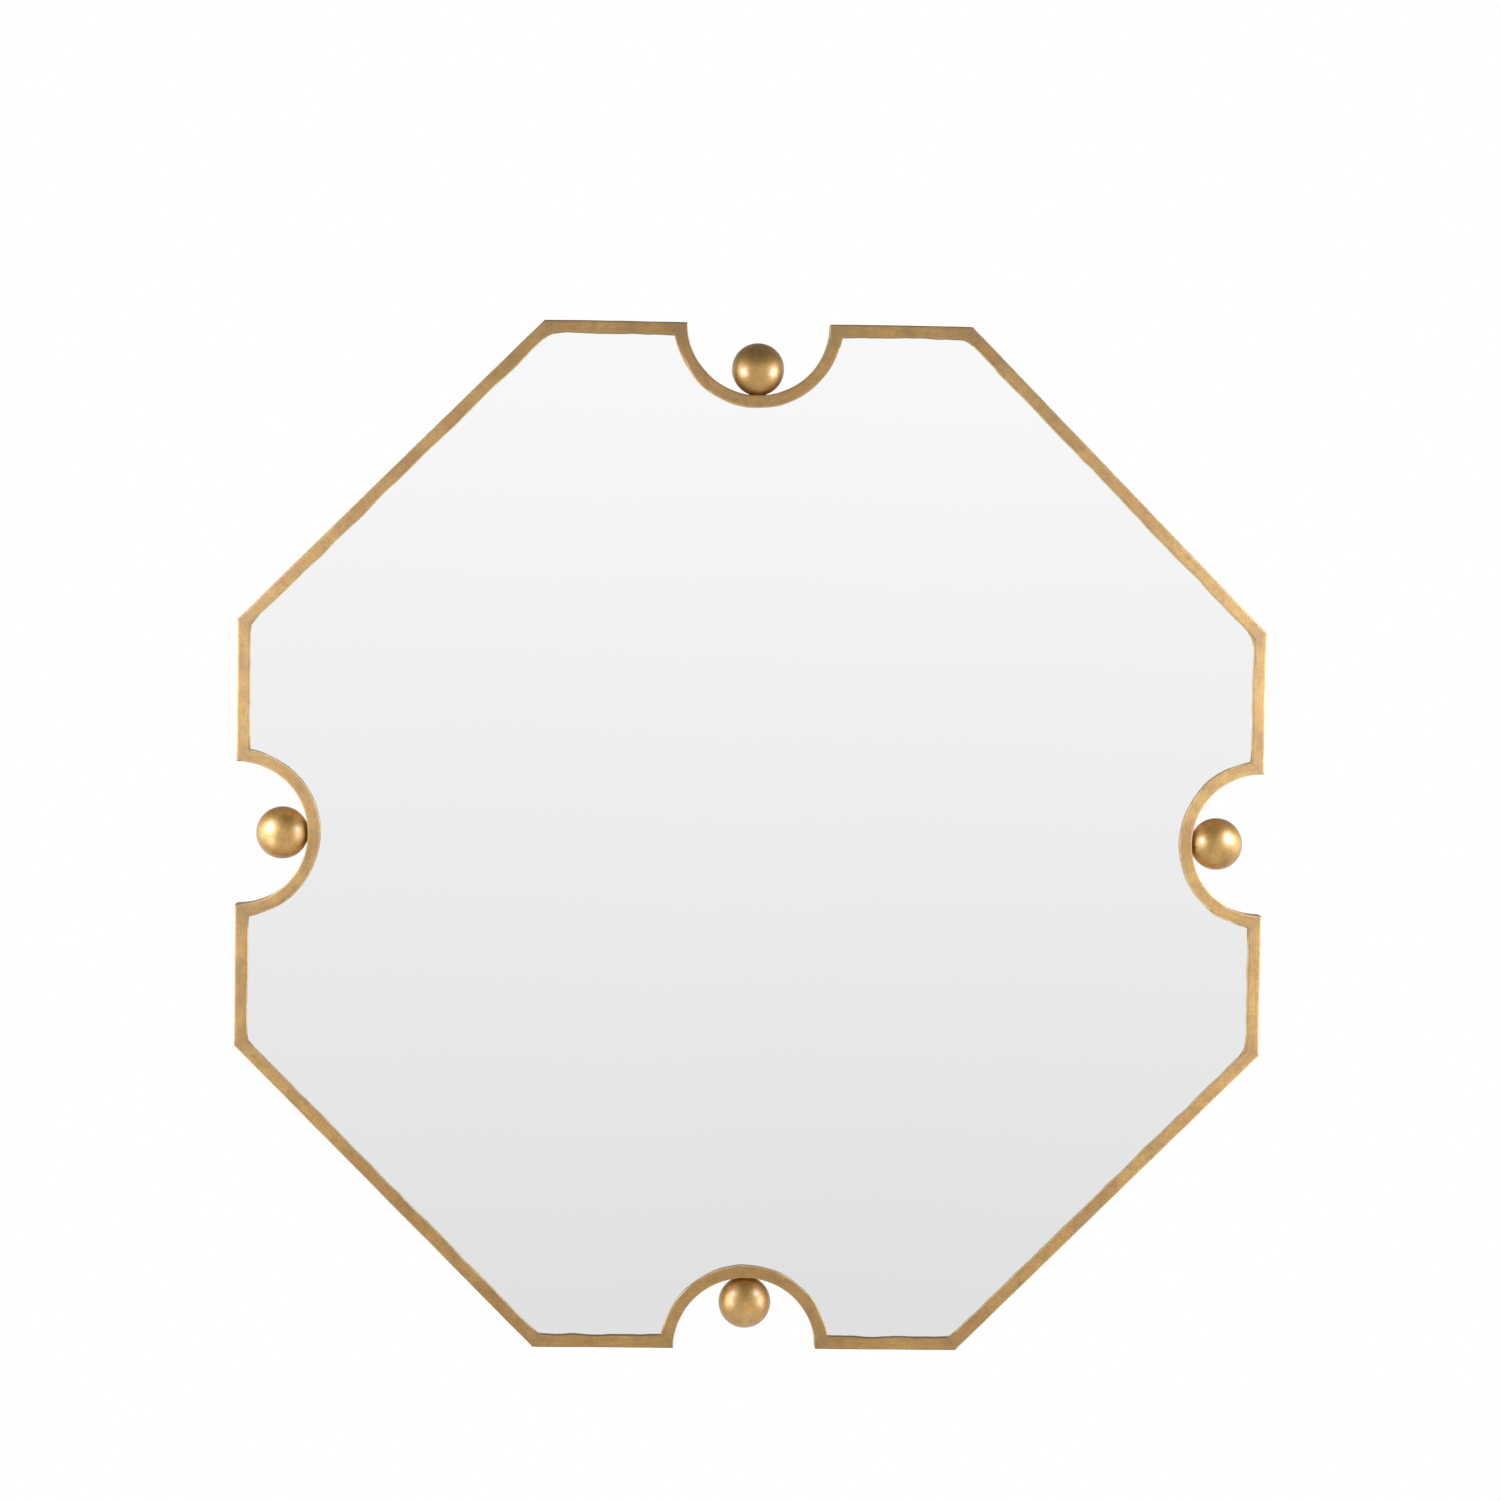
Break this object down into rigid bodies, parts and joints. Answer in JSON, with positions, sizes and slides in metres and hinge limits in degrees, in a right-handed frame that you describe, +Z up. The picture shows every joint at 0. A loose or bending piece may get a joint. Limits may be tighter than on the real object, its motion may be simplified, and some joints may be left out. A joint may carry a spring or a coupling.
{
  "type": "octagonal wall mirror",
  "caption": "Octagonal wall mirror in a narrow gilded tube frame that turns inwards in half-round notches, each holding a gilded ball, hung from D-rings on its backing panel.",
  "frame": {"origin": "on the wall plane, at the centre of the octagon", "axes": "+Z up, +X to the viewer's right, +Y into the wall; the glass faces -Y"},
  "size_m": [1, 0.0529, 1],
  "materials": {
    "gold_leaf": "antiqued gold leaf over steel",
    "mirror_glass": "silvered glass",
    "fibreboard": "raw fibreboard",
    "foam_tape": "closed-cell foam",
    "black_steel": "black primer",
    "zinc_steel": "zinc plated",
    "rubber": "moulded black rubber"
  },
  "bodies": {
    "mirror": {"backing_panel": "fibreboard", "ball_pins": "zinc_steel", "bottom_ball": "gold_leaf", "bottom_notch_arc": "gold_leaf", "bottom_rail_left": "gold_leaf", "bottom_rail_right": "gold_leaf", "hanger_screws": "zinc_steel", "left_ball": "gold_leaf", "left_hanger_strap": "zinc_steel", "left_notch_arc": "gold_leaf", "left_rail_lower": "gold_leaf", "left_rail_upper": "gold_leaf", "lower_left_panel_tab_high": "black_steel", "lower_left_panel_tab_low": "black_steel", "lower_left_rail": "gold_leaf", "lower_right_panel_tab_high": "black_steel", "lower_right_panel_tab_low": "black_steel", "lower_right_rail": "gold_leaf", "mirror_glass": "mirror_glass", "mounting_tape": "foam_tape", "right_ball": "gold_leaf", "right_hanger_strap": "zinc_steel", "right_notch_arc": "gold_leaf", "right_rail_lower": "gold_leaf", "right_rail_upper": "gold_leaf", "tab_screws": "zinc_steel", "top_ball": "gold_leaf", "top_notch_arc": "gold_leaf", "top_rail_left": "gold_leaf", "top_rail_right": "gold_leaf", "upper_left_panel_tab_high": "black_steel", "upper_left_panel_tab_low": "black_steel", "upper_left_rail": "gold_leaf", "upper_right_panel_tab_high": "black_steel", "upper_right_panel_tab_low": "black_steel", "upper_right_rail": "gold_leaf", "wall_bumpers": "rubber"},
    "left_ring": {"left_hanger_ring": "zinc_steel"},
    "right_ring": {"right_hanger_ring": "zinc_steel"}
  },
  "joints": [
    {"name": "left_ring_swing", "type": "hinge", "parent": "mirror", "child": "left_ring", "pos_m": [-0.26, -0.0178, 0.23], "axis": [-1, 0, 0], "range_deg": [0, 182]},
    {"name": "right_ring_swing", "type": "hinge", "parent": "mirror", "child": "right_ring", "pos_m": [0.26, -0.0178, 0.23], "axis": [-1, 0, 0], "range_deg": [0, 182]}
  ]
}
